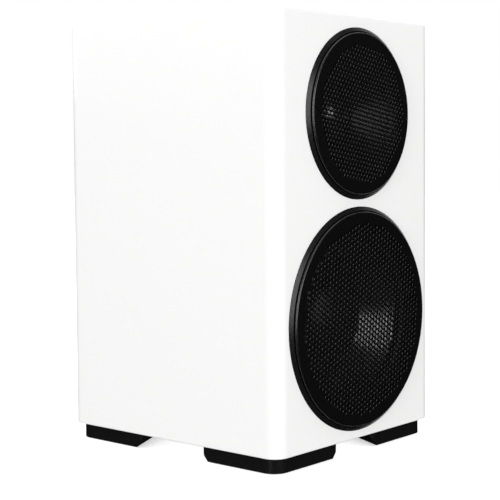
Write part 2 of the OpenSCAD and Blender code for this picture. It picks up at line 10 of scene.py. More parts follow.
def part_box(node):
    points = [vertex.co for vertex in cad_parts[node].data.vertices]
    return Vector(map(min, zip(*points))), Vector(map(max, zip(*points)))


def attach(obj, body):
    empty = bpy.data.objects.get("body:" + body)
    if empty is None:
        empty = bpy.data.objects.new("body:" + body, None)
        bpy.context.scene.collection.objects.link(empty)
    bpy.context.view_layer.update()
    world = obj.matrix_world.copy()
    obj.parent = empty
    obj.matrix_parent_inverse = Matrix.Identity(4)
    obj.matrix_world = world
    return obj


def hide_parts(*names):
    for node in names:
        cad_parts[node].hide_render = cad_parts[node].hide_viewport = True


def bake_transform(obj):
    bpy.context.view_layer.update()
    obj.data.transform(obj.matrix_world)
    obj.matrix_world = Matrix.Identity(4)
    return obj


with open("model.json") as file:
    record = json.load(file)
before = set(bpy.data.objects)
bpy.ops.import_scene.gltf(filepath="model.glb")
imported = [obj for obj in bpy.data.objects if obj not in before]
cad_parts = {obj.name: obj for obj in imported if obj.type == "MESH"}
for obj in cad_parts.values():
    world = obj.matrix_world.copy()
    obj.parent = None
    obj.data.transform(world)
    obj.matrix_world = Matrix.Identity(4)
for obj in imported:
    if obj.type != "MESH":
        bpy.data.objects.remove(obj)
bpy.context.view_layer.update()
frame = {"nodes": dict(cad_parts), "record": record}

MM = 0.001
TURN = 2 * math.pi


# ------------------------------------------------------------------ places, read from the frame

def centre_of(node):
    low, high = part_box(node)
    return (low + high) / 2


FRONT_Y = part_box("front_baffle")[0].y
BACK_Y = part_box("back_panel")[1].y
CABINET_LOW, CABINET_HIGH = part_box("left_side_panel")[0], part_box("right_side_panel")[1]
CABINET_Z, CABINET_TOP = CABINET_LOW.z, CABINET_HIGH.z
HALF_WIDTH = CABINET_HIGH.x
WOOFER_Z = centre_of("woofer_trim_ring").z
TWEETER_Z = centre_of("tweeter_trim_ring").z
PORT_Z = centre_of("port_tube").z
TERMINAL_Z = centre_of("terminal_cup").z
WOOFER_RING_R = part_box("woofer_trim_ring")[1].x / MM
TWEETER_RING_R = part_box("tweeter_trim_ring")[1].x / MM

# local +z points out of the baffle, or out of the back panel; local units are millimetres
OUT_FRONT = Matrix(((1, 0, 0), (0, 0, -1), (0, 1, 0))).to_4x4()
OUT_BACK = Matrix(((1, 0, 0), (0, 0, 1), (0, -1, 0))).to_4x4()
MILLIMETRES = Matrix.Scale(MM, 4)


def on_front(z):
    return Matrix.Translation((0, FRONT_Y, z)) @ OUT_FRONT @ MILLIMETRES


def on_back(z, x=0):
    return Matrix.Translation((x * MM, BACK_Y, z)) @ OUT_BACK @ MILLIMETRES


AT_WOOFER, AT_TWEETER = on_front(WOOFER_Z), on_front(TWEETER_Z)
AT_PORT, AT_TERMINAL = on_back(PORT_Z), on_back(TERMINAL_Z)


def round_places(count, radius, turn=0):
    """Points spread evenly on a circle."""
    angles = [turn + TURN * k / count for k in range(count)]
    return [(radius * math.cos(a), radius * math.sin(a)) for a in angles]


# ------------------------------------------------------------------ materials

FLECK_SPAN = (0.62, 0.68)
ROUGH_FINER, GRAIN_FINER = 1.7, 2.3      # how much finer these two noises are than the colour's


def shade(name, base, other, scale, rough, metallic=0.0, bump=0.1, depth=0.05, relief="grain",
          stretch=(1, 1, 1), fleck=0.0, span=(0.3, 0.7), **fixed):
    """A procedural material. base and other are mixed by noise of the given scale (features per metre).
    rough is a range of roughness and span is the part of the noise that is used. relief is the kind of
    surface texture and depth is its height in mm. fleck is the scale of scattered flecks of other. The
    rest are sockets of the shader."""
    material = bpy.data.materials.new(name)
    material.use_nodes = True
    nodes, links = material.node_tree.nodes, material.node_tree.links
    shader = nodes["Principled BSDF"]
    shader.inputs["Metallic"].default_value = metallic
    for socket, value in fixed.items():
        shader.inputs[socket.replace("_", " ").title().replace("Ior", "IOR")].default_value = value

    place = nodes.new("ShaderNodeTexCoord").outputs["Object"]
    mapping = nodes.new("ShaderNodeMapping")
    mapping.inputs["Scale"].default_value = stretch
    links.new(place, mapping.inputs["Vector"])
    place = mapping.outputs["Vector"]

    def noise(size, detail=4.0):
        node = nodes.new("ShaderNodeTexNoise")
        node.inputs["Scale"].default_value = size
        node.inputs["Detail"].default_value = detail
        links.new(place, node.inputs["Vector"])
        return node.outputs["Fac"]

    def spread(source, low, high, used=span):
        node = nodes.new("ShaderNodeMapRange")
        node.inputs["From Min"].default_value, node.inputs["From Max"].default_value = used
        node.inputs["To Min"].default_value, node.inputs["To Max"].default_value = low, high
        links.new(source, node.inputs["Value"])
        return node.outputs["Result"]

    def larger(a, b):
        node = nodes.new("ShaderNodeMath")
        node.operation = "MAXIMUM"
        links.new(a, node.inputs[0])
        links.new(b, node.inputs[1])
        return node.outputs["Value"]

    def wave(axis, size):
        node = nodes.new("ShaderNodeTexWave")
        node.bands_direction = axis
        node.inputs["Scale"].default_value = size
        links.new(place, node.inputs["Vector"])
        return node.outputs["Fac"]

    mix = nodes.new("ShaderNodeMix")
    mix.data_type = "RGBA"
    colours = [s for s in mix.inputs if s.type == "RGBA"]
    colours[0].default_value, colours[1].default_value = (*base, 1), (*other, 1)
    blend = spread(noise(scale), 0, 1)
    if fleck:
        blend = larger(blend, spread(noise(fleck, 1.0), 0, 1, FLECK_SPAN))
    links.new(blend, mix.inputs[0])
    links.new([s for s in mix.outputs if s.type == "RGBA"][0], shader.inputs["Base Color"])
    links.new(spread(noise(scale * ROUGH_FINER, 6.0), *rough), shader.inputs["Roughness"])

    if relief == "weave":
        height = larger(wave("X", scale), wave("Z", scale))
    elif relief == "winding":
        height = wave("Z" if stretch[2] >= 1 else "Y", scale)
    elif relief == "cells":
        cells = nodes.new("ShaderNodeTexVoronoi")
        cells.inputs["Scale"].default_value = scale
        links.new(place, cells.inputs["Vector"])
        height = cells.outputs["Distance"]
    else:
        height = noise(scale * GRAIN_FINER, 8.0)
    bumped = nodes.new("ShaderNodeBump")
    bumped.inputs["Strength"].default_value = bump
    bumped.inputs["Distance"].default_value = depth * MM
    links.new(height, bumped.inputs["Height"])
    links.new(bumped.outputs["Normal"], shader.inputs["Normal"])
    return material


MATERIALS = {
    # gloss lacquer: barely uneven in tone, with the faint orange peel of a sprayed coat
    "cabinet_lacquer": shade("lacquer", (0.88, 0.88, 0.875), (0.868, 0.868, 0.863), 60, (0.09, 0.14),
                             bump=0.05, depth=0.03, span=(0.05, 0.95)),
    "bare_board": shade("board", (0.62, 0.46, 0.30), (0.50, 0.36, 0.23), 700, (0.6, 0.85), bump=0.4,
                        stretch=(1, 0.15, 1)),
    "wadding": shade("wadding", (0.60, 0.60, 0.58), (0.45, 0.45, 0.44), 420, (0.85, 1.0), bump=0.9,
                     depth=0.8, sheen_weight=0.4),
    "gasket_foam": shade("foam", (0.045, 0.045, 0.05), (0.03, 0.03, 0.032), 1500, (0.75, 0.95), bump=0.7,
                         depth=0.15, relief="cells"),
    "cast_frame": shade("casting", (0.055, 0.055, 0.06), (0.04, 0.04, 0.042), 900, (0.42, 0.6), metallic=0.6,
                        bump=0.5, depth=0.12),
    "roll_rubber": shade("rubber", (0.007, 0.007, 0.0075), (0.010, 0.010, 0.0105), 260, (0.38, 0.55),
                         bump=0.15, depth=0.04),
    # a coated cone, dark but glossy enough to mirror the front light through the mesh
    "cone_pulp": shade("pulp", (0.008, 0.008, 0.0085), (0.013, 0.013, 0.0135), 650, (0.20, 0.30), bump=0.18,
                       depth=0.05, fleck=1300, specular_ior_level=1.0, coat_weight=1.0, coat_roughness=0.2,
                       coat_ior=1.9),
    "cap_coating": shade("cap", (0.011, 0.011, 0.0115), (0.016, 0.016, 0.0165), 500, (0.30, 0.42), bump=0.2,
                         depth=0.05),
    "spider_cloth": shade("spider_cloth", (0.72, 0.53, 0.22), (0.60, 0.43, 0.17), 1400, (0.6, 0.8), bump=0.7,
                          depth=0.2, relief="weave"),
    "coil_copper": shade("winding", (0.70, 0.34, 0.16), (0.55, 0.25, 0.12), 1100, (0.25, 0.4), metallic=0.9,
                         bump=0.6, depth=0.25, relief="winding"),
    "plated_steel": shade("zinc", (0.64, 0.64, 0.66), (0.55, 0.55, 0.58), 300, (0.28, 0.42), metallic=1.0,
                          bump=0.15, stretch=(1, 0.1, 1)),
    "ferrite": shade("ferrite", (0.085, 0.085, 0.09), (0.06, 0.06, 0.064), 800, (0.6, 0.8), bump=0.5,
                     depth=0.15, fleck=900),
    "ring_black": shade("ring", (0.0055, 0.0055, 0.0060), (0.0070, 0.0070, 0.0075), 380, (0.24, 0.32),
                        bump=0.06, depth=0.02, specular_ior_level=0.48),
    # a very dark, fairly glossy coat, so that only the rounded edges of the holes catch the light
    "grille_black": shade("powder_coat", (0.0010, 0.0010, 0.0011), (0.0016, 0.0016, 0.0017), 1500,
                          (0.24, 0.31), bump=0.08, depth=0.03, specular_ior_level=1.0),
    "guide_black": shade("guide", (0.005, 0.005, 0.0055), (0.008, 0.008, 0.0085), 700, (0.24, 0.32),
                         bump=0.08, depth=0.03, specular_ior_level=0.5),
    "dome_coating": shade("dome_cloth", (0.012, 0.012, 0.013), (0.018, 0.018, 0.019), 1900, (0.16, 0.24),
                          bump=0.1, depth=0.03, relief="weave", specular_ior_level=1.0, coat_weight=1.0,
                          coat_roughness=0.13, coat_ior=2.0),
    "screw_black": shade("black_oxide", (0.045, 0.045, 0.047), (0.065, 0.065, 0.068), 900, (0.30, 0.45),
                         metallic=0.9, bump=0.15),
    "magnet_nickel": shade("nickel", (0.68, 0.67, 0.64), (0.60, 0.59, 0.56), 500, (0.12, 0.24), metallic=1.0,
                           bump=0.05, depth=0.02),
    "port_black": shade("port", (0.020, 0.020, 0.021), (0.027, 0.027, 0.028), 900, (0.38, 0.5), bump=0.3,
                        depth=0.05),
    "cup_black": shade("cup", (0.024, 0.024, 0.025), (0.032, 0.032, 0.033), 1700, (0.45, 0.6), bump=0.6,
                       depth=0.08),
    "gold_plate": shade("gold", (0.86, 0.60, 0.26), (0.78, 0.52, 0.21), 350, (0.12, 0.22), metallic=1.0,
                        bump=0.06, depth=0.02),
    "knob_red": shade("knob_red", (0.55, 0.022, 0.022), (0.48, 0.016, 0.016), 300, (0.16, 0.26), bump=0.06,
                      depth=0.03, coat_weight=0.4, coat_roughness=0.08),
    "knob_black": shade("knob_black", (0.018, 0.018, 0.018), (0.026, 0.026, 0.026), 300, (0.16, 0.26),
                        bump=0.06, depth=0.03, coat_weight=0.4, coat_roughness=0.08),
    "board_green": shade("solder_mask", (0.03, 0.19, 0.09), (0.02, 0.14, 0.06), 400, (0.25, 0.4), bump=0.2,
                         relief="weave"),
    "spacer_nylon": shade("nylon", (0.84, 0.83, 0.78), (0.78, 0.77, 0.72), 300, (0.4, 0.5), bump=0.1,
                          subsurface_weight=0.1),
    "film_wrap": shade("film", (0.78, 0.50, 0.07), (0.70, 0.43, 0.05), 150, (0.15, 0.25), bump=0.05),
    "resistor_body": shade("cement", (0.82, 0.81, 0.76), (0.70, 0.69, 0.64), 900, (0.75, 0.9), bump=0.6,
                           depth=0.15, fleck=1200),
    "wire_jacket": shade("jacket", (0.24, 0.03, 0.03), (0.20, 0.022, 0.022), 400, (0.35, 0.45), bump=0.1),
    "foot_black": shade("foot", (0.0052, 0.0052, 0.0054), (0.0072, 0.0072, 0.0074), 800, (0.18, 0.28),
                        bump=0.10, depth=0.02, specular_ior_level=0.4),
    "pad_rubber": shade("pad", (0.014, 0.014, 0.014), (0.022, 0.022, 0.022), 1100, (0.7, 0.85), bump=0.5,
                        depth=0.1),
}
NODE_SLOT = {s["node"]: s["material_slot"] for s in frame["record"]["subparts"]}
for name, node in frame["nodes"].items():
    node.data.materials.clear()
    node.data.materials.append(MATERIALS[NODE_SLOT[name]])


# ------------------------------------------------------------------ mesh helpers

def soften(outline, radii, steps=4):
    """A closed outline with its corners rounded. radii is one number or one for each corner."""
    made = []
    for i, corner in enumerate(outline):
        radius = radii[i] if isinstance(radii, (list, tuple)) else radii
        c, p, q = (Vector(v) for v in (corner, outline[i - 1], outline[(i + 1) % len(outline)]))
        u, v = p - c, q - c
        half = u.angle(v) / 2
        if radius <= 0 or abs(half - math.pi / 2) < 0.01:
            made.append(tuple(c))
            continue
        reach = min(radius / math.tan(half), 0.49 * u.length, 0.49 * v.length)
        u.normalize()
        v.normalize()
        centre = c + (u + v).normalized() * reach / math.cos(half)
        a, b = (c + u * reach - centre).normalized(), (c + v * reach - centre).normalized()
        radius = reach * math.tan(half)
        made += [tuple(centre + radius * a.slerp(b, k / steps)) for k in range(steps + 1)]
    return made


def arc(cx, cy, radius, start, end, steps):
    """Points on an arc; angles in degrees."""
    angles = [math.radians(start + (end - start) * k / steps) for k in range(steps + 1)]
    return [(cx + radius * math.cos(a), cy + radius * math.sin(a)) for a in angles]


def turned(outline, segments=128, start=0.0, sweep=TURN, radius_at=None):
    """A closed outline of (radius, height) points turned about local z, as a closed mesh.
    radius_at(radius, height, angle) can change a point's radius, for flutes and threads."""
    bm = bmesh.new()
    full = sweep == TURN
    poles = {}
    columns = []
    for k in range(segments if full else segments + 1):
        angle = start + sweep * k / segments
        column = []
        for i, (radius, height) in enumerate(outline):
            if radius < 1e-6:
                if i not in poles:
                    poles[i] = bm.verts.new((0, 0, height))
                column.append(poles[i])
                continue
            if radius_at:
                radius = radius_at(radius, height, angle)
            column.append(bm.verts.new((radius * math.cos(angle), radius * math.sin(angle), height)))
        columns.append(column)
    for k in range(segments):
        left, right = columns[k], columns[(k + 1) % len(columns)]
        for i in range(len(outline)):
            j = (i + 1) % len(outline)
            corners = list(dict.fromkeys((left[i], right[i], right[j], left[j])))
            if len(corners) > 2:
                bm.faces.new(corners)
    if not full:
        bm.faces.new(columns[0])
        bm.faces.new(columns[-1])
    bmesh.ops.recalc_face_normals(bm, faces=bm.faces[:])
    return bm


def bridged(bm, loops):
    """Faces from each closed loop of points to the next."""
    for a, b in zip(loops, loops[1:]):
        for k in range(len(a)):
            j = (k + 1) % len(a)
            bm.faces.new((a[k], a[j], b[j], b[k]))


def prism(plan, low, high):
    """A plan of (x, y) points drawn up from low to high, as a closed mesh."""
    bm = bmesh.new()
    base = bm.faces.new([bm.verts.new((x, y, low)) for x, y in plan])
    drawn = bmesh.ops.extrude_face_region(bm, geom=[base])
    tops = [g for g in drawn["geom"] if isinstance(g, bmesh.types.BMVert)]
    bmesh.ops.translate(bm, verts=tops, vec=(0, 0, high - low))
    bmesh.ops.recalc_face_normals(bm, faces=bm.faces[:])
    return bm


def merged(parts):
    """One mesh from several; each part is (bmesh, matrix) and is copied, so it can be used again."""
    bm = bmesh.new()
    for part, matrix in parts:
        piece = bpy.data.meshes.new("part")
        part.to_mesh(piece)
        piece.transform(matrix)
        bm.from_mesh(piece)
        bpy.data.meshes.remove(piece)
    return bm


def at(x=0.0, y=0.0, turn=0.0):
    """A place in local millimetres, turned about local z."""
    return Matrix.Translation((x, y, 0)) @ Matrix.Rotation(turn, 4, "Z")


def piece(name, bm, place, nodes, body="cabinet", sharp=32, bevel=0.0, ride=True, cut=None):
    """Puts a mesh in the scene as a piece that stands for CAD nodes and takes their slot.
    cut is a mesh taken away from it; bevel rounds its sharp edges, in mm."""
    bm.transform(place)
    data = bpy.data.meshes.new(name)
    bm.to_mesh(data)
    bm.free()
    obj = bpy.data.objects.new(name, data)
    bpy.context.scene.collection.objects.link(obj)
    if cut is not None:
        subtract(obj, cut, place)
    if bevel:
        rounding = obj.modifiers.new("rounding", "BEVEL")
        rounding.width, rounding.segments = bevel * MM, 3
        rounding.angle_limit = math.radians(30)
        rounding.use_clamp_overlap = True
        apply_modifiers(obj)
    obj.data.polygons.foreach_set("use_smooth", [True] * len(obj.data.polygons))
    obj.data.set_sharp_from_angle(angle=math.radians(sharp))
    slot = NODE_SLOT[nodes[0]]
    obj.data.materials.clear()
    obj.data.materials.append(MATERIALS[slot])
    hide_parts(*nodes)
    if ride:
        even_normals(obj)
        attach(obj, body)
    return obj


def even_normals(obj):
    """Keeps flat faces flat beside their rounded edges."""
    normals = obj.modifiers.new("normals", "WEIGHTED_NORMAL")
    normals.keep_sharp = True


def apply_modifiers(obj):
    """Makes the result of the modifiers the piece's own mesh."""
    graph = bpy.context.evaluated_depsgraph_get()
    data = bpy.data.meshes.new_from_object(obj.evaluated_get(graph))
    old, obj.data = obj.data, data
    obj.modifiers.clear()
    bpy.data.meshes.remove(old)


def subtract(obj, bm, place):
    """Cuts a mesh, given in the piece's local millimetres, out of the piece."""
    bm.transform(place)
    data = bpy.data.meshes.new("cutter")
    bm.to_mesh(data)
    bm.free()
    cutter = bpy.data.objects.new("cutter", data)
    bpy.context.scene.collection.objects.link(cutter)
    hollow = obj.modifiers.new("hollow", "BOOLEAN")
    hollow.operation, hollow.solver, hollow.object = "DIFFERENCE", "EXACT", cutter
    hollow.use_self = True
    apply_modifiers(obj)
    bpy.data.objects.remove(cutter)
    bpy.data.meshes.remove(data)


def rod(radius, low, high, segments=48):
    return turned([(0, low), (radius, low), (radius, high), (0, high)], segments)


# ------------------------------------------------------------------ cabinet

CORNER_R = 12.1
EDGE_R = 1.1
BAFFLE_T, BACK_T, SIDE_T = 22, 18, 16
REBATE_D = 5.0
OVERCUT = 3                      # how far a cutter runs past the faces it cuts
WOOFER_CUT_R, TWEETER_CUT_R = 73.5, 48
WOOFER_SCREWS, TWEETER_SCREWS = 6, 4
WOOFER_PITCH_R, TWEETER_PITCH_R = WOOFER_RING_R - 8.6, TWEETER_RING_R - 8.5
DRIVER_SCREW_R, SCREW_DEPTH = 2.1, 19
PORT_HOLE_R = 25.2
CUP_HOLE = (70, 52)
PLATE_SCREW_R = 1.85
PLATE_SCREWS = [(x, y) for x in (-39, 39) for y in (-31, 31)]


def cabinet_block():
    """The whole outside of the cabinet: round vertical corners, eased top and bottom edges."""
    half_w = HALF_WIDTH / MM
    low_y, high_y = FRONT_Y / MM, BACK_Y / MM
    low_z, high_z = CABINET_Z / MM, CABINET_TOP / MM
    steps, edge_steps = 20, 5
    levels = [(EDGE_R * (1 - math.sin(a)), EDGE_R * (1 - math.cos(a)))
              for a in (math.pi / 2 * k / edge_steps for k in range(edge_steps + 1))]
    rings = [(inset, low_z + rise) for inset, rise in levels]
    rings += [(inset, high_z - rise) for inset, rise in reversed(levels)]
    bm = bmesh.new()
    made = []
    for inset, z in rings:
        radius = CORNER_R - inset
        x, y0, y1 = half_w - CORNER_R, low_y + CORNER_R, high_y - CORNER_R
        plan = (arc(-x, y0, radius, 180, 270, steps) + arc(x, y0, radius, 270, 360, steps)
                + arc(x, y1, radius, 0, 90, steps) + arc(-x, y1, radius, 90, 180, steps))
        made.append([bm.verts.new((px, py, z)) for px, py in plan])
    bridged(bm, made)
    bm.faces.new(made[0])
    bm.faces.new(made[-1])
    bmesh.ops.recalc_face_normals(bm, faces=bm.faces[:])
    return bm


def kept_side(bm, point, normal):
    """Cuts a closed mesh with a plane, drops the side the normal points to, and closes the cut."""
    every = bm.verts[:] + bm.edges[:] + bm.faces[:]
    cut = bmesh.ops.bisect_plane(bm, geom=every, plane_co=point, plane_no=normal, clear_outer=True)
    edges = [g for g in cut["geom_cut"] if isinstance(g, bmesh.types.BMEdge)]
    bmesh.ops.holes_fill(bm, edges=edges, sides=0)


inner_y0, inner_y1 = FRONT_Y / MM + BAFFLE_T, BACK_Y / MM - BACK_T
inner_x = HALF_WIDTH / MM - SIDE_T
IN_FRONT, BEHIND = ((0, inner_y0, 0), (0, 1, 0)), ((0, inner_y1, 0), (0, -1, 0))
BETWEEN = [((0, inner_y0, 0), (0, -1, 0)), ((0, inner_y1, 0), (0, 1, 0))]
MIDDLE = [((-inner_x, 0, 0), (-1, 0, 0)), ((inner_x, 0, 0), (1, 0, 0))]
PANEL_CUTS = {
    "front_baffle": [IN_FRONT],
    "back_panel": [BEHIND],
    "left_side_panel": [*BETWEEN, ((-inner_x, 0, 0), (1, 0, 0))],
    "right_side_panel": [*BETWEEN, ((inner_x, 0, 0), (-1, 0, 0))],
    "top_panel": [*BETWEEN, *MIDDLE, ((0, 0, CABINET_TOP / MM - SIDE_T), (0, 0, -1))],
    "bottom_panel": [*BETWEEN, *MIDDLE, ((0, 0, CABINET_Z / MM + SIDE_T), (0, 0, 1))],
}


def driver_holes():
    """Rebate, cut-out and screw holes for both drivers, in the cabinet's place."""
    parts = []
    for place, rebate_r, cut_r, count, pitch_r, turn in (
            (AT_WOOFER, WOOFER_RING_R - 3, WOOFER_CUT_R, WOOFER_SCREWS, WOOFER_PITCH_R, 0),
            (AT_TWEETER, TWEETER_RING_R - 3, TWEETER_CUT_R, TWEETER_SCREWS, TWEETER_PITCH_R, TURN / 8)):
        stepped = turned([(0, -BAFFLE_T - OVERCUT), (cut_r, -BAFFLE_T - OVERCUT), (cut_r, -REBATE_D),
                          (rebate_r, -REBATE_D), (rebate_r, OVERCUT), (0, OVERCUT)], 160)
        parts.append((stepped, place))
        for x, y in round_places(count, pitch_r, turn):
            parts.append((rod(DRIVER_SCREW_R, -SCREW_DEPTH, -REBATE_D + 1, 24), place @ at(x, y)))
    return merged(parts)


def back_holes():
    """The port's hole, the terminal plate's window and its screw holes, in the cabinet's place."""
    x, y = CUP_HOLE[0] / 2, CUP_HOLE[1] / 2
    window = prism([(-x, -y), (x, -y), (x, y), (-x, y)], -BACK_T - OVERCUT, OVERCUT)
    parts = [(rod(PORT_HOLE_R, -BACK_T - OVERCUT, OVERCUT, 96), AT_PORT), (window, AT_TERMINAL)]
    parts += [(rod(PLATE_SCREW_R, -15, OVERCUT, 24), AT_TERMINAL @ at(*spot)) for spot in PLATE_SCREWS]
    return merged(parts)


PANEL_HOLES = {"front_baffle": driver_holes, "back_panel": back_holes}
for node, cuts in PANEL_CUTS.items():
    panel = cabinet_block()
    for point, normal in cuts:
        kept_side(panel, point, normal)
    holes = None
    if node in PANEL_HOLES:
        holes = PANEL_HOLES[node]()
        holes.transform(MILLIMETRES.inverted())
    piece(f"lacquered_{node}", panel, MILLIMETRES, [node], cut=holes)


# ------------------------------------------------------------------ trim rings and grilles

GROOVE_W, BEVEL_W, LIP_W, RING_H = 0.9, 3.0, 0.3, 2.3
RING_FLOOR_T = 1.5
GRILLE_PROUD, GRILLE_T, GRILLE_GAP = 4.2, 0.8, 0.3
WOOFER_FLOOR_R, TWEETER_FLOOR_R = 72.5, 53.9
GRILLE_RIM_R, SKIRT_EASE, GRILLE_SEGMENTS = 1.1, 0.3, 144
WOOFER_HOLE_R, TWEETER_HOLE_R = 1.42, 1.30
HOLE_RIM_R, HOLE_RIM_STEPS, HOLE_SIDES, HOLE_TWIST = 0.34, 3, 12, 0.26
WOOFER_FIELD_R, TWEETER_FIELD_R = 73.2, 52.4
INSIDE_TRIANGLES = 1             # the kind of result asked of delaunay_2d_cdt


def trim_ring(name, ring_r, floor_r, place, screws):
    """A flat ring with a bevelled outer lip and screw holes in its floor."""
    lip_r = ring_r - BEVEL_W
    outline = soften([(floor_r, 0), (ring_r, 0), (lip_r, RING_H), (lip_r - LIP_W, RING_H),
                      (lip_r - LIP_W, RING_FLOOR_T), (floor_r, RING_FLOOR_T)],
                     [0.1, 0.12, 0.35, 0.1, 0.1, 0.3])
    holes = merged([(rod(DRIVER_SCREW_R, -2, 4, 24), at(x, y)) for x, y in screws])
    piece(name, turned(outline, 192), place, [name.replace("bevelled_", "")], cut=holes)


def lattice(step_a, step_b, limit):
    """Points of a regular lattice within a radius, one of them at the centre."""
    reach = range(-40, 41)
    places = [(i * step_a[0] + j * step_b[0], i * step_a[1] + j * step_b[1]) for i in reach for j in reach]
    return [p for p in places if math.hypot(*p) <= limit]


def pierced_disc(radius, holes, hole_r):
    """Flat points, triangles and edge loops of a disc with its round holes left out."""
    points = [Vector(p) for p in round_places(GRILLE_SEGMENTS, radius)]
    loops = [list(range(GRILLE_SEGMENTS))]
    for n, (x, y) in enumerate(holes):
        loops.append([len(points) + k for k in range(HOLE_SIDES)])
        hole = round_places(HOLE_SIDES, hole_r, n % 2 * HOLE_TWIST)
        points += [Vector((x + dx, y + dy)) for dx, dy in hole]
    out, _, faces, _, _, origin = delaunay_2d_cdt(points, [], loops, INSIDE_TRIANGLES, 1e-7)
    solid = [f for f, source in zip(faces, origin) if all(s == 0 for s in source)]
    return out, solid, loops


def perforated(edge_r, holes, hole_r):
    """A dished sheet with round holes, a rounded rim and a turned-back edge, as one closed mesh.
    The front edge of each hole is rounded."""
    face, back = GRILLE_PROUD, GRILLE_PROUD - GRILLE_T
    flat_r = edge_r - GRILLE_RIM_R
    bm = bmesh.new()
    front_points, triangles, loops = pierced_disc(flat_r, holes, hole_r + HOLE_RIM_R)
    front = [bm.verts.new((p.x, p.y, face)) for p in front_points]
    for t in triangles:
        bm.faces.new([front[i] for i in t])
    back_points, triangles, _ = pierced_disc(edge_r - GRILLE_T - SKIRT_EASE, holes, hole_r)
    rear = [bm.verts.new((p.x, p.y, back)) for p in back_points]
    for t in triangles:
        bm.faces.new([rear[i] for i in reversed(t)])
    for loop in loops[1:]:
        wall = [[front[i] for i in loop]]
        for step in range(1, HOLE_RIM_STEPS + 1):
            turned_in = TURN / 4 * step / HOLE_RIM_STEPS
            reach, sink = 1 - math.sin(turned_in), HOLE_RIM_R * (1 - math.cos(turned_in))
            flat = [back_points[i].lerp(front_points[i], reach) for i in loop]
            wall.append([bm.verts.new((p.x, p.y, face - sink)) for p in flat])
        bridged(bm, [*wall, [rear[i] for i in loop]])
    low = RING_FLOOR_T + GRILLE_GAP
    skirt = arc(flat_r, face - GRILLE_RIM_R, GRILLE_RIM_R, 90, 0, 6)[1:]
    skirt += [(edge_r, low + 0.2), (edge_r - 0.2, low), (edge_r - GRILLE_T + 0.2, low),
              (edge_r - GRILLE_T, low + 0.2), (edge_r - GRILLE_T, back - SKIRT_EASE)]
    rings = [[bm.verts.new((x, y, z)) for x, y in round_places(GRILLE_SEGMENTS, r)] for r, z in skirt]
    bridged(bm, [[front[i] for i in loops[0]], *rings, [rear[i] for i in loops[0]]])
    bmesh.ops.recalc_face_normals(bm, faces=bm.faces[:])
    return bm


woofer_screws = round_places(WOOFER_SCREWS, WOOFER_PITCH_R)
tweeter_screws = round_places(TWEETER_SCREWS, TWEETER_PITCH_R, TURN / 8)
trim_ring("bevelled_woofer_trim_ring", WOOFER_RING_R, WOOFER_FLOOR_R, AT_WOOFER, woofer_screws)
trim_ring("bevelled_tweeter_trim_ring", TWEETER_RING_R, TWEETER_FLOOR_R, AT_TWEETER, tweeter_screws)

woofer_holes = lattice((0.48, 3.92), (4.13, 1.58), WOOFER_FIELD_R)
pitch, tilt = 3.79, math.radians(-9.4)
tweeter_holes = lattice((pitch * math.cos(tilt), pitch * math.sin(tilt)),
                        (pitch * math.cos(tilt + TURN / 6), pitch * math.sin(tilt + TURN / 6)),
                        TWEETER_FIELD_R)
grille_in = BEVEL_W + LIP_W + GROOVE_W
piece("perforated_woofer_grille", perforated(WOOFER_RING_R - grille_in, woofer_holes, WOOFER_HOLE_R),
      AT_WOOFER, ["woofer_grille"], body="woofer_grille_disc", sharp=50)
piece("perforated_tweeter_grille", perforated(TWEETER_RING_R - grille_in, tweeter_holes, TWEETER_HOLE_R),
      AT_TWEETER, ["tweeter_grille"], body="tweeter_grille_disc", sharp=50)

SOCKET_HALF_W, SOCKET_LOW = 1.4, 1.9


def hexagonal(radius, height, angle):
    """Turns the wall of a screw's socket into a hexagon."""
    if radius > SOCKET_HALF_W + 0.01 or height < SOCKET_LOW - 0.05:
        return radius
    return radius * math.cos(math.pi / 6) / math.cos((angle % (TURN / 6)) - TURN / 12)


# socket-head screws, each turned by a different angle, and the magnets between them
head = turned(soften([(0, -18.5), (1.4, -18.5), (2.0, -17.3), (2.0, RING_FLOOR_T), (2.9, RING_FLOOR_T),
                      (2.9, 2.9), (SOCKET_HALF_W, 2.9), (SOCKET_HALF_W, SOCKET_LOW), (0, SOCKET_LOW)],
                     [0, 0, 0, 0, 0.1, 0.4, 0.12, 0, 0]), 36, radius_at=hexagonal)
spots = [(AT_WOOFER, p) for p in woofer_screws] + [(AT_TWEETER, p) for p in tweeter_screws]
piece("socket_head_screws", merged([(head, place @ at(x, y, turn=x)) for place, (x, y) in spots]),
      Matrix(), ["driver_screws"])
disc = turned(soften([(0, RING_FLOOR_T), (2.9, RING_FLOOR_T), (2.9, 3.2), (0, 3.2)], [0, 0.2, 0.35, 0]), 36)
spots = [(AT_WOOFER, p) for p in round_places(WOOFER_SCREWS, WOOFER_PITCH_R, TURN / 12)]
spots += [(AT_TWEETER, p) for p in round_places(TWEETER_SCREWS, TWEETER_PITCH_R)]
piece("disc_magnets", merged([(disc, place @ at(x, y)) for place, (x, y) in spots]), Matrix(),
      ["grille_magnets"])


# ------------------------------------------------------------------ woofer

LEDGE_Z, SEAT_R, NECK_R, NECK_Z = -6, 57.5, 18.6, -29
CONE_LIP_R, CONE_T = 60, 0.8
CAP_R, CAP_RISE, CAP_T = 30, 9, 0.7
ROLL_IN_R, ROLL_OUT_R, SURROUND_R, SURROUND_T = 59.4, 67.2, 72, 0.6
SPIDER_IN_R, SPIDER_OUT_R, SPIDER_LIP_R, SPIDER_Z, SPIDER_T, SPIDER_WAVES = 21.6, 46, 49, -36, 0.7, 4


def cone_z(r):
    """The cone's front surface: nearly straight, a little steeper towards the neck."""
    t = (SEAT_R - r) / (SEAT_R - NECK_R)
    return LEDGE_Z - (LEDGE_Z - NECK_Z) * (0.8 * t + 0.2 * t * t)


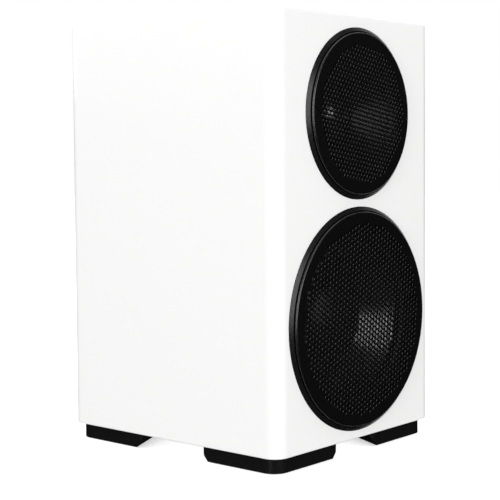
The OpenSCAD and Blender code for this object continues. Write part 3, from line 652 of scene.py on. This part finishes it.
radii = [SEAT_R + (NECK_R - SEAT_R) * k / 40 for k in range(41)]
cone = [(CONE_LIP_R, LEDGE_Z), *((r, cone_z(r)) for r in radii)]
cone += [*((r, cone_z(r) - CONE_T) for r in reversed(radii)), (CONE_LIP_R, LEDGE_Z - CONE_T)]
piece("moulded_woofer_cone", turned(cone, 160), AT_WOOFER, ["woofer_cone"], body="woofer_cone_unit")


def dome(radius, rise, base, thickness, steps=20):
    """A closed spherical cap of even thickness."""
    ball = (radius * radius + rise * rise) / (2 * rise)
    centre = base + rise - ball
    half = math.degrees(math.asin(radius / ball))
    inner = math.degrees(math.acos((base - centre) / (ball - thickness)))
    outer = arc(0, centre, ball, 90 - half, 90, steps)
    return outer[:-1] + [(0, centre + ball), (0, centre + ball - thickness)] \
        + arc(0, centre, ball - thickness, 90, 90 - inner, steps)[1:]


piece("pressed_dust_cap", turned(dome(CAP_R, CAP_RISE, cone_z(CAP_R), CAP_T)), AT_WOOFER,
      ["woofer_dust_cap"], body="woofer_cone_unit")


def flexible_ring(name, outline, place, node, sectors=16):
    """Puts the ring in as separate sectors, each a piece that rides on no body, with its place baked into
    its mesh.
    """
    step = TURN / sectors
    for n in range(sectors):
        start = n * step
        obj = piece(f"{name}_{n + 1:02d}", turned(outline, 10, start, step), place, [node], sharp=60,
                    ride=False)
        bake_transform(obj)


def half_roll(in_r, out_r, lip_r, seat_r, base, sheet, steps):
    """Outline of a half-roll edge with a flat lip on either side."""
    middle, roll = (in_r + out_r) / 2, (out_r - in_r) / 2
    return ([(seat_r, base), (in_r + sheet, base)] + arc(middle, base, roll - sheet, 180, 0, steps)[1:]
            + [(lip_r, base), (lip_r, base + sheet), (out_r, base + sheet)]
            + arc(middle, base + sheet, roll, 0, 180, steps)[1:] + [(seat_r, base + sheet)])


flexible_ring("woofer_roll", half_roll(ROLL_IN_R, ROLL_OUT_R, SURROUND_R, SEAT_R, LEDGE_Z, SURROUND_T, 24),
              AT_WOOFER, "woofer_surround")

steps = 48
rolls = [(SPIDER_IN_R + (SPIDER_OUT_R - SPIDER_IN_R) * k / steps,
          SPIDER_Z + 1 + math.sin(TURN * SPIDER_WAVES * k / steps)) for k in range(steps + 1)]
spider = [(NECK_R, SPIDER_Z + 1), *rolls, (SPIDER_OUT_R + 0.5, SPIDER_Z), (SPIDER_LIP_R, SPIDER_Z),
          (SPIDER_LIP_R, SPIDER_Z + SPIDER_T), (SPIDER_OUT_R + 0.5, SPIDER_Z + 1.1),
          *((r, z + SPIDER_T) for r, z in reversed(rolls)), (NECK_R, SPIDER_Z + 1.7)]
flexible_ring("corrugated_spider", spider, AT_WOOFER, "woofer_spider",
              12)


def bezier(points, steps):
    """Points along a cubic curve with the four given control points."""
    a, b, c, d = (Vector(p) for p in points)
    ts = [k / steps for k in range(steps + 1)]
    return [a * (1 - t) ** 3 + b * 3 * t * (1 - t) ** 2 + c * 3 * t * t * (1 - t) + d * t ** 3 for t in ts]


def tube(path, radius, sides=12):
    """A closed tube along a path."""
    bm = bmesh.new()
    rings = []
    for i, p in enumerate(path):
        along = (path[min(i + 1, len(path) - 1)] - path[max(i - 1, 0)]).normalized()
        u = along.cross(Vector((1, 0, 0))).normalized()
        v = along.cross(u)
        rings.append([bm.verts.new(p + radius * (u * x + v * y)) for x, y in round_places(sides, 1)])
    bridged(bm, rings)
    bm.faces.new(rings[0])
    bm.faces.new(rings[-1])
    bmesh.ops.recalc_face_normals(bm, faces=bm.faces[:])
    return bm


# each lead sags from the basket's rim and rises to the cone
for side, x in (("left", -6), ("right", 6)):
    route = [(x, 48.5, -32.5), (x, 44, -30), (x, 38, -29), (x, 34.5, -22.5)]
    lead = piece(f"braided_lead_{side}", tube(bezier(route, 16), 0.7), AT_WOOFER, ["woofer_tinsel_leads"],
                 ride=False)
    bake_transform(lead)


# ------------------------------------------------------------------ tweeter

MOUTH_R, THROAT_R, GUIDE_D, GUIDE_WALL = 53.5, 15.8, 20.5, 2.5
FLANGE_T, GUIDE_BACK = 4.2, -24
DOME_R, DOME_RISE, DOME_Z, DOME_T = 12.7, 4.8, -22, 0.4
EDGE_MIDDLE_R, EDGE_IN_R, EDGE_OUT_R, EDGE_LIP_R = 14.05, 12.9, 15.4, 16.8
EDGE_FRONT_Z, EDGE_BACK_Z, EDGE_FRONT_ROLL_R, EDGE_BACK_ROLL_R = -21.6, -21.9, 1.35, 1.05


def guide_z(r):
    """The waveguide's front surface, which flares from the throat to the mouth."""
    return -GUIDE_D * (1 - ((r - THROAT_R) / (MOUTH_R - THROAT_R)) ** 0.75)


flange_r = TWEETER_RING_R - 3.6
radii = [THROAT_R + (MOUTH_R - THROAT_R) * (k / 60) ** 1.5 for k in range(61)]
outer = [(27 + 17 * k / 24) for k in range(24, -1, -1)]
guide = [*((r, guide_z(r)) for r in radii), (flange_r, 0), (flange_r, -FLANGE_T), (47, -FLANGE_T),
         *((r + GUIDE_WALL, guide_z(r) - GUIDE_WALL) for r in outer), (34, -17), (34, GUIDE_BACK),
         (17.2, GUIDE_BACK), (17.2, -GUIDE_D - 0.8), (THROAT_R, -GUIDE_D - 0.8)]
guide_holes = merged([(rod(DRIVER_SCREW_R, -6, 2, 24), at(x, y)) for x, y in tweeter_screws])
piece("moulded_waveguide", turned(guide, 160), AT_TWEETER, ["tweeter_waveguide"], cut=guide_holes, sharp=40)
piece("coated_dome", turned(dome(DOME_R, DOME_RISE, DOME_Z, DOME_T), 96), AT_TWEETER, ["tweeter_dome"],
      body="tweeter_dome_unit")

tweeter_roll = [*arc(EDGE_MIDDLE_R, EDGE_BACK_Z, EDGE_BACK_ROLL_R, 180, 0, 12), (EDGE_LIP_R, EDGE_BACK_Z),
                (EDGE_LIP_R, EDGE_FRONT_Z), (EDGE_OUT_R, EDGE_FRONT_Z),
                *arc(EDGE_MIDDLE_R, EDGE_FRONT_Z, EDGE_FRONT_ROLL_R, 0, 180, 12)]
flexible_ring("tweeter_roll", tweeter_roll, AT_TWEETER, "tweeter_surround",
              12)


# ------------------------------------------------------------------ back of the cabinet

PORT_R, PORT_WALL, FLARE, PORT_PROUD, PORT_LEN = 22, 2.5, 9, 2.2, 100
port_flange = PORT_R + FLARE + 6
port = [(PORT_R, -PORT_LEN), (PORT_R + PORT_WALL, -PORT_LEN), (PORT_R + PORT_WALL, 0), (port_flange, 0),
        *arc(port_flange - 1.2, PORT_PROUD - 1.2, 1.2, 0, 90, 6),
        *arc(PORT_R + FLARE, PORT_PROUD - FLARE, FLARE, 90, 180, 32)]
piece("flared_port", turned(port, 144), AT_PORT, ["port_tube"], sharp=50)

PLATE, PLATE_OUT, GASKET_T, RECESS_FLOOR, CUP_WALL = (90, 74), 3.0, 0.8, -17, 2.5
RECESS = (64, 46)


def rounded_plan(width, height, radius, steps=6):
    """A rectangle with round corners."""
    x, y = width / 2 - radius, height / 2 - radius
    return (arc(-x, -y, radius, 180, 270, steps) + arc(x, -y, radius, 270, 360, steps)
            + arc(x, y, radius, 0, 90, steps) + arc(-x, y, radius, 90, 180, steps))


def nested(levels):
    """A closed shell through rounded rectangles of (width, height, corner radius, level), first to last,
    with its first and last filled in."""
    bm = bmesh.new()
    rings = [[bm.verts.new((x, y, z)) for x, y in rounded_plan(w, h, r)] for w, h, r, z in levels]
    bridged(bm, rings)
    bm.faces.new(rings[0])
    bm.faces.new(rings[-1])
    bmesh.ops.recalc_face_normals(bm, faces=bm.faces[:])
    return bm


def eased(width, height, corner, level, radius, inward, steps=5):
    """Levels of a rounded edge that turns from a side wall onto a face, or back when inward is -1."""
    levels = []
    for k in range(steps + 1):
        a = math.pi / 2 * k / steps
        inset = radius * (1 - math.cos(a)) * 2
        levels.append((width - inset, height - inset, corner - inset / 2,
                       level - radius * (1 - math.sin(a))))
    return levels if inward > 0 else [(2 * width - w, 2 * height - h, corner + (corner - c), z)
                                      for w, h, c, z in reversed(levels)]


cup_w, cup_h = RECESS[0] + 2 * CUP_WALL, RECESS[1] + 2 * CUP_WALL
cup = [(cup_w, cup_h, 5.5, RECESS_FLOOR - 3), (cup_w, cup_h, 5.5, GASKET_T), (*PLATE, 5, GASKET_T),
       *eased(*PLATE, 5, PLATE_OUT, 1.0, 1), *eased(*RECESS, 4, PLATE_OUT, 1.2, -1),
       (RECESS[0] - 1.2, RECESS[1] - 1.2, 3.4, RECESS_FLOOR + 1.0),
       (RECESS[0] - 1.8, RECESS[1] - 1.8, 3.1, RECESS_FLOOR + 0.3),
       (RECESS[0] - 3.2, RECESS[1] - 3.2, 2.4, RECESS_FLOOR)]
POST_X = centre_of("positive_post").x / MM
cup_holes = merged([(rod(PLATE_SCREW_R, -5, 5, 24), at(x, y)) for x, y in PLATE_SCREWS]
                   + [(rod(3.2, -22, -14, 24), at(x, 0)) for x in (-POST_X, POST_X)])
piece("moulded_terminal_cup", nested(cup), AT_TERMINAL, ["terminal_cup"], cut=cup_holes)

pan_head = turned(soften([(0, -12), (1.75, -12), (1.75, PLATE_OUT), (3.2, PLATE_OUT), (3.2, PLATE_OUT + 1.0),
                          (1.8, PLATE_OUT + 1.6), (0, PLATE_OUT + 1.6)], [0, 0.6, 0, 0.1, 0.5, 0.5, 0]), 36)
cross = merged([(prism([(-1.9, -0.4), (1.9, -0.4), (1.9, 0.4), (-1.9, 0.4)], PLATE_OUT + 0.7, 6),
                 at(turn=t)) for t in (0, TURN / 4)])
piece("cross_head_screws", merged([(pan_head, at(x, y)) for x, y in PLATE_SCREWS]), AT_TERMINAL,
      ["terminal_screws"], cut=merged([(cross, at(x, y, turn=x)) for x, y in PLATE_SCREWS]))

STUD_R, STUD_TOP, SOCKET_R, SOCKET_LEN, POST_BASE_R, POST_BASE_T = 3.0, 3.0, 2.05, 18, 8, 3.5
post_top = RECESS_FLOOR + POST_BASE_T
THREAD_LOW, THREAD_HIGH, THREAD_STEP, THREAD_D = post_top + 0.3, STUD_TOP - 0.4, 0.125, 0.34


def threaded(radius, height, angle):
    """Cuts a single-start thread of 1 mm pitch into the stud."""
    if abs(radius - STUD_R) > 0.01 or not THREAD_LOW < height < THREAD_HIGH:
        return radius
    phase = (height - angle / TURN) % 1.0
    return radius - THREAD_D * abs(2 * phase - 1)


levels = int((THREAD_HIGH - THREAD_LOW) / THREAD_STEP)
stud = [(STUD_R, THREAD_LOW + THREAD_STEP * k) for k in range(levels + 1)]
post = [(0, RECESS_FLOOR - 15), (STUD_R - 0.4, RECESS_FLOOR - 15), (STUD_R, RECESS_FLOOR - 14.6),
        (STUD_R, RECESS_FLOOR), *soften([(POST_BASE_R, RECESS_FLOOR), (POST_BASE_R, post_top),
                                         (STUD_R, post_top)], [0.2, 0.5, 0])[:-1],
        (STUD_R, post_top), *stud, (STUD_R - 0.3, STUD_TOP), (SOCKET_R + 0.25, STUD_TOP),
        (SOCKET_R, STUD_TOP - 0.3), (SOCKET_R, STUD_TOP - SOCKET_LEN), (0, STUD_TOP - SOCKET_LEN - 0.6)]
WASHER_R, WASHER_T, RUN_GAP, NUT_R = 6.5, 1.2, 0.06, 5.5
washer_low = post_top + 0.3
washer = soften([(STUD_R + RUN_GAP, washer_low), (WASHER_R, washer_low), (WASHER_R, washer_low + WASHER_T),
                 (STUD_R + RUN_GAP, washer_low + WASHER_T)], [0.1, 0.25, 0.25, 0.1])

KNOB_R, KNOB_PROUD, PLUG_R, FLUTES = 7.8, 6.5, 2.4, 12
knob_low = washer_low + WASHER_T + 0.3
FLUTE_R, FLUTE_AT = 1.3, KNOB_R + 0.7


def fluted(radius, height, angle):
    """Twelve round flutes that run out near the knob's foot."""
    if radius < KNOB_R - 1.6:
        return radius
    off = (angle + math.pi / FLUTES) % (TURN / FLUTES) - math.pi / FLUTES
    side = FLUTE_AT * math.sin(off)
    if abs(side) >= FLUTE_R:
        return radius
    wall = FLUTE_AT * math.cos(off) - math.sqrt(FLUTE_R ** 2 - side ** 2)
    runout = min(1.0, max(0.0, (height - knob_low - 2.6) / 0.8))
    return min(radius, radius + (wall - KNOB_R) * runout)


side_heights = [knob_low + 2.4 + 0.2 * k for k in range(7)]
knob = [(STUD_R + RUN_GAP, knob_low), (KNOB_R - 0.8, knob_low), (KNOB_R - 0.2, knob_low + 0.25),
        (KNOB_R, knob_low + 0.8), *((KNOB_R, h) for h in side_heights), (KNOB_R, KNOB_PROUD - 1.3),
        *arc(KNOB_R - 1.2, KNOB_PROUD - 1.2, 1.2, 0, 90, 5), (4.2, KNOB_PROUD), (3.7, KNOB_PROUD - 0.4),
        (PLUG_R + 0.5, KNOB_PROUD - 0.4), (PLUG_R, KNOB_PROUD - 0.9), (PLUG_R, STUD_TOP + 0.4),
        (STUD_R + RUN_GAP, STUD_TOP + 0.4)]
nuts = []
for name, x in (("positive", POST_X), ("negative", -POST_X)):
    place = on_back(TERMINAL_Z, x)
    piece(f"threaded_{name}_post", turned(post, 64, radius_at=threaded), place, [f"{name}_post"], sharp=40)
    piece(f"plated_{name}_washer", turned(washer, 96), place, [f"{name}_clamp_washer"],
          body=f"{name}_washer_ring")
    piece(f"fluted_{name}_knob", turned(knob, 288, radius_at=fluted), place, [f"{name}_knob"],
          body=f"{name}_knob_cap", sharp=40)
    nuts.append((prism(round_places(6, NUT_R), RECESS_FLOOR - 7, RECESS_FLOOR - 3), at(x)))
piece("hexagon_post_nuts", merged(nuts), AT_TERMINAL, ["post_nuts"], bevel=0.3,
      cut=merged([(rod(STUD_R + RUN_GAP, RECESS_FLOOR - 9, RECESS_FLOOR - 1), at(x))
                  for x in (-POST_X, POST_X)]))


# ------------------------------------------------------------------ feet

FOOT_LEN, INNER_UV, FOOT_INSET, PAD_PROUD, PAD_T, PAD_INSET = 74.2, 50.3, 4.3, 0.5, 1.2, 6
CHAMFER_W, CHAMFER_H = 6.3, 7.6
FOOT_EDGE_R, FOOT_TIP_R, PAD_TIP_R = 1.3, 2.5, 2.0
CORNER_TURN = 0.45               # edges that turn by more than this, in radians, are rounded
foot_top = CABINET_Z / MM


def foot_plan(inset, corner, tip):
    """Round outer corner, two straight sides and two slanted inner sides with rounded ends."""
    kite = [(inset, inset), (FOOT_LEN - inset * 1.8, inset), (INNER_UV - inset, INNER_UV - inset),
            (inset, FOOT_LEN - inset * 1.8)]
    return soften(kite, [corner, tip, 3.0, tip], 10)


def foot_block():
    """A foot with sloping ends and rounded lower edges, its outer corner at the origin."""
    bm = prism(foot_plan(0, CORNER_R, FOOT_TIP_R), PAD_PROUD, foot_top)
    lean = math.atan((FOOT_LEN - INNER_UV) / INNER_UV)
    for swap in (False, True):
        # the plane that slopes the lower edge of a leg's end
        along = Vector((math.cos(lean) * CHAMFER_H, math.sin(lean) * CHAMFER_H, -CHAMFER_W))
        start = Vector((FOOT_LEN, 0, PAD_PROUD + CHAMFER_H))
        if swap:
            along.x, along.y = along.y, along.x
            start.x, start.y = start.y, start.x
        kept_side(bm, start, along)
    lower = [e for e in bm.edges if e.calc_face_angle(0) > CORNER_TURN
             and min(v.co.z for v in e.verts) < foot_top - 1]
    bmesh.ops.bevel(bm, geom=lower, offset=FOOT_EDGE_R, segments=4, profile=0.5, affect="EDGES",
                    clamp_overlap=True)
    return bm


pad_hollow = prism(foot_plan(PAD_INSET - 0.15, CORNER_R - PAD_INSET, PAD_TIP_R), -1, PAD_T + 0.05)
screw_wells = [(rod(4, 1, 7, 32), at(x, y)) for x, y in ((20, 45), (45, 20))]
foot_hollow = merged([(pad_hollow, Matrix()), *screw_wells])
pads = []
for node, sx, sy in (("front_left_foot", -1, -1), ("front_right_foot", 1, -1), ("rear_left_foot", -1, 1),
                     ("rear_right_foot", 1, 1)):
    corner_y = FRONT_Y / MM + FOOT_INSET if sy < 0 else BACK_Y / MM - FOOT_INSET
    flip = Matrix.Diagonal((-sx, -sy, 1, 1))
    place = MILLIMETRES @ Matrix.Translation((sx * (HALF_WIDTH / MM - FOOT_INSET), corner_y, 0)) @ flip
    foot, hollow = foot_block(), foot_hollow.copy()
    if sx * sy < 0:
        bmesh.ops.reverse_faces(foot, faces=foot.faces[:])
        bmesh.ops.reverse_faces(hollow, faces=hollow.faces[:])
    piece(f"moulded_{node}", foot, place, [node], cut=hollow)
    pad = prism(foot_plan(PAD_INSET, CORNER_R - PAD_INSET, PAD_TIP_R), 0, PAD_T)
    if sx * sy < 0:
        bmesh.ops.reverse_faces(pad, faces=pad.faces[:])
    pads.append((pad, place))
piece("rubber_pads", merged(pads), Matrix(), ["foot_pads"], bevel=0.25)


# ------------------------------------------------------------------ studio

SENSOR, LENS, SHIFT_Y = 36, 92.32, -0.05
CAMERA_TURN, CAMERA_PITCH, CAMERA_ROLL = -49.168, 3.219, -0.438
CAMERA_BACK, CAMERA_RIGHT, CAMERA_Z = 1.05134, -0.00049, 0.23253
FLOOR_R, TARGET_Z, LAMP_AWAY = 6, 0.17, 2.4
FILL_LEVEL, FLAG_LEVEL, BACKDROP_LEVEL, BEHIND_LEVEL = 0.662, 0.008, 1.0, 0.85

camera = bpy.data.objects.new("camera", bpy.data.cameras.new("camera"))
bpy.context.scene.collection.objects.link(camera)
bpy.context.scene.camera = camera
camera.data.sensor_width, camera.data.lens, camera.data.shift_y = SENSOR, LENS, SHIFT_Y
azimuth, pitch_down, roll = (math.radians(a) for a in (CAMERA_TURN, CAMERA_PITCH, CAMERA_ROLL))
back_way = Vector((math.sin(azimuth), -math.cos(azimuth), 0))
right = Vector((math.cos(azimuth), math.sin(azimuth), 0))
middle_y = (FRONT_Y + BACK_Y) / 2
eye = Vector((0, middle_y, CAMERA_Z)) + back_way * CAMERA_BACK + right * CAMERA_RIGHT
ahead = -back_way * math.cos(pitch_down) - Vector((0, 0, math.sin(pitch_down)))
up = right.cross(ahead)
tipped_right = right * math.cos(roll) + up * math.sin(roll)
tipped_up = up * math.cos(roll) - right * math.sin(roll)
facing = Matrix((tipped_right, tipped_up, -ahead)).transposed()
camera.matrix_world = Matrix.Translation(eye) @ facing.to_4x4()

floor_mesh = bmesh.new()
bmesh.ops.create_circle(floor_mesh, cap_ends=True, segments=96, radius=FLOOR_R)
floor_data = bpy.data.meshes.new("floor")
floor_mesh.to_mesh(floor_data)
floor_mesh.free()
floor = bpy.data.objects.new("floor", floor_data)
bpy.context.scene.collection.objects.link(floor)
floor.data.materials.append(shade("floor", (0.93, 0.93, 0.93), (0.92, 0.92, 0.92), 2, (0.8, 0.9), bump=0.02,
                                  specular_ior_level=0.1, emission_strength=0.55,
                                  emission_color=(1, 1, 1, 1)))
# the floor is lit and seen, but throws no light back at the speaker
floor.visible_glossy = floor.visible_diffuse = False


def softbox(name, azimuth, elevation, size, power):
    """An area light that faces the speaker's middle from a direction in degrees."""
    data = bpy.data.lights.new(name, "AREA")
    data.shape, data.size, data.size_y, data.energy = "RECTANGLE", size[0], size[1], power
    lamp = bpy.data.objects.new(name, data)
    target = Vector((0, middle_y, TARGET_Z))
    a, e = math.radians(azimuth), math.radians(elevation)
    towards = Vector((-math.sin(a) * math.cos(e), -math.cos(a) * math.cos(e), math.sin(e)))
    lamp.location = target + towards * LAMP_AWAY
    lamp.rotation_euler = (target - lamp.location).to_track_quat("-Z", "Y").to_euler()
    bpy.context.scene.collection.objects.link(lamp)


# azimuth is to the left of straight in front of the baffle
softbox("key", 10, 12, (1.7, 1.6), 25.5)
softbox("side", 76, 10, (0.85, 1.7), 21.5)
softbox("overhead", 0, 86, (2.4, 2.4), 13)
softbox("rear", 160, 22, (1.6, 1.4), 24)

world = bpy.data.worlds.new("studio")
bpy.context.scene.world = world
world.use_nodes = True
sky, air = world.node_tree.nodes, world.node_tree.links


def between(source, low, high, span=(0, 1)):
    """low to high as the source goes over the span; each end is a number or a socket."""
    node = sky.new("ShaderNodeMapRange")
    node.inputs["From Min"].default_value, node.inputs["From Max"].default_value = span
    for end, value in (("To Min", low), ("To Max", high)):
        if isinstance(value, (int, float)):
            node.inputs[end].default_value = value
        else:
            air.new(value, node.inputs[end])
    air.new(source, node.inputs["Value"])
    return node.outputs["Result"]


# a white backdrop and a soft fill on every side; what the glossy parts mirror is bright behind the
# speaker above the floor, and dark elsewhere
ray = sky.new("ShaderNodeLightPath")
way = sky.new("ShaderNodeSeparateXYZ")
air.new(sky.new("ShaderNodeTexCoord").outputs["Generated"], way.inputs["Vector"])
behind = between(way.outputs["Y"], FLAG_LEVEL, BEHIND_LEVEL, (-0.25, 0.15))
mirrored = between(way.outputs["Z"], FLAG_LEVEL, behind, (0.02, 0.12))
strength = between(ray.outputs["Is Camera Ray"],
                   between(ray.outputs["Is Glossy Ray"], FILL_LEVEL, mirrored), BACKDROP_LEVEL)
air.new(strength, sky["Background"].inputs["Strength"])
sky["Background"].inputs["Color"].default_value = (1, 1, 1, 1)
bpy.context.scene.view_settings.view_transform = "Standard"
